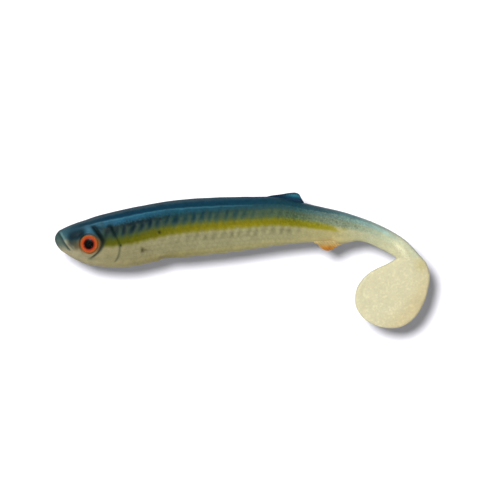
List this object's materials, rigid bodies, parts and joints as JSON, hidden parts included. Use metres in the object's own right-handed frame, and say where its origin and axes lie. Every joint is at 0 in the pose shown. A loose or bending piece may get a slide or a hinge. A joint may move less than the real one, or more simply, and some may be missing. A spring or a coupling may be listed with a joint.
{
  "type": "paddle-tail swimbait",
  "caption": "Soft-plastic paddle-tail swimbait: herring-shaped body with moulded eyes, small dorsal and anal fins, flexing tail stalk, hinged paddle and a belly hook slot.",
  "frame": {"origin": "middle of the small flat on the nose, where a jig head's collar seats", "axes": "+X from the nose to the tail, +Z towards the lure's back, -Y its left side"},
  "size_m": [0.1574, 0.0176, 0.0629],
  "materials": {
    "painted_back_plastisol": "soft, translucent plastisol, painted and glossy",
    "painted_flank_plastisol": "soft, translucent plastisol, painted and glossy",
    "pearl_stalk_plastisol": "soft, translucent plastisol, painted and glossy",
    "pearl_tail_plastisol": "soft, translucent plastisol, painted and glossy",
    "fin_plastisol": "soft, translucent plastisol, painted and glossy",
    "anal_fin_plastisol": "soft, translucent plastisol, painted and glossy",
    "foam_tape": "matte",
    "printed_foil": "orange metallic print with a black pupil",
    "clear_epoxy": "clear, polished"
  },
  "bodies": {
    "front_body": {"front_body": "painted_back_plastisol", "left_eye_pad": "foam_tape", "left_eye_foil": "printed_foil", "left_eye_dome": "clear_epoxy", "right_eye_pad": "foam_tape", "right_eye_foil": "printed_foil", "right_eye_dome": "clear_epoxy"},
    "rear_body": {"rear_body": "painted_flank_plastisol"},
    "tail_stalk": {"tail_stalk": "pearl_stalk_plastisol"},
    "tail_base": {"tail_base": "pearl_stalk_plastisol"},
    "tail_wrist": {"tail_wrist": "pearl_tail_plastisol"},
    "paddle": {"paddle": "pearl_tail_plastisol"},
    "dorsal_fin": {"dorsal_fin": "fin_plastisol"},
    "anal_fin": {"anal_fin": "anal_fin_plastisol"}
  },
  "joints": [
    {"name": "trunk_bend", "type": "hinge", "parent": "front_body", "child": "rear_body", "pos_m": [0.079, 0, -0.0004], "axis": [0.0175, 0, 0.9998], "range_deg": [-15, 15], "stiffness_Nm_per_rad": 0.03},
    {"name": "stalk_bend", "type": "hinge", "parent": "rear_body", "child": "tail_stalk", "pos_m": [0.1245, 0, -0.0061], "axis": [0.342, 0, 0.9397], "range_deg": [-25, 25], "stiffness_Nm_per_rad": 0.005},
    {"name": "stalk_lift", "type": "hinge", "parent": "tail_stalk", "child": "tail_base", "pos_m": [0.1324, 0, -0.0086], "axis": [0, -1, 0], "range_deg": [-15, 30], "stiffness_Nm_per_rad": 0.006},
    {"name": "wrist_bend", "type": "hinge", "parent": "tail_base", "child": "tail_wrist", "pos_m": [0.1394, 0, -0.0123], "axis": [0.5878, 0, 0.809], "range_deg": [-35, 35], "stiffness_Nm_per_rad": 0.0015},
    {"name": "paddle_kick", "type": "hinge", "parent": "tail_wrist", "child": "paddle", "pos_m": [0.1493, 0, -0.0204], "axis": [0.5, 0, 0.866], "range_deg": [-90, 90], "stiffness_Nm_per_rad": 0.0006},
    {"name": "dorsal_fin_fold", "type": "hinge", "parent": "rear_body", "child": "dorsal_fin", "pos_m": [0.0906, 0, 0.0101], "axis": [0.9826, 0, -0.1857], "range_deg": [-35, 35], "stiffness_Nm_per_rad": 0.0001},
    {"name": "anal_fin_fold", "type": "hinge", "parent": "rear_body", "child": "anal_fin", "pos_m": [0.1096, 0, -0.0114], "axis": [0.9988, 0, -0.0499], "range_deg": [-35, 35], "stiffness_Nm_per_rad": 0.0001}
  ]
}
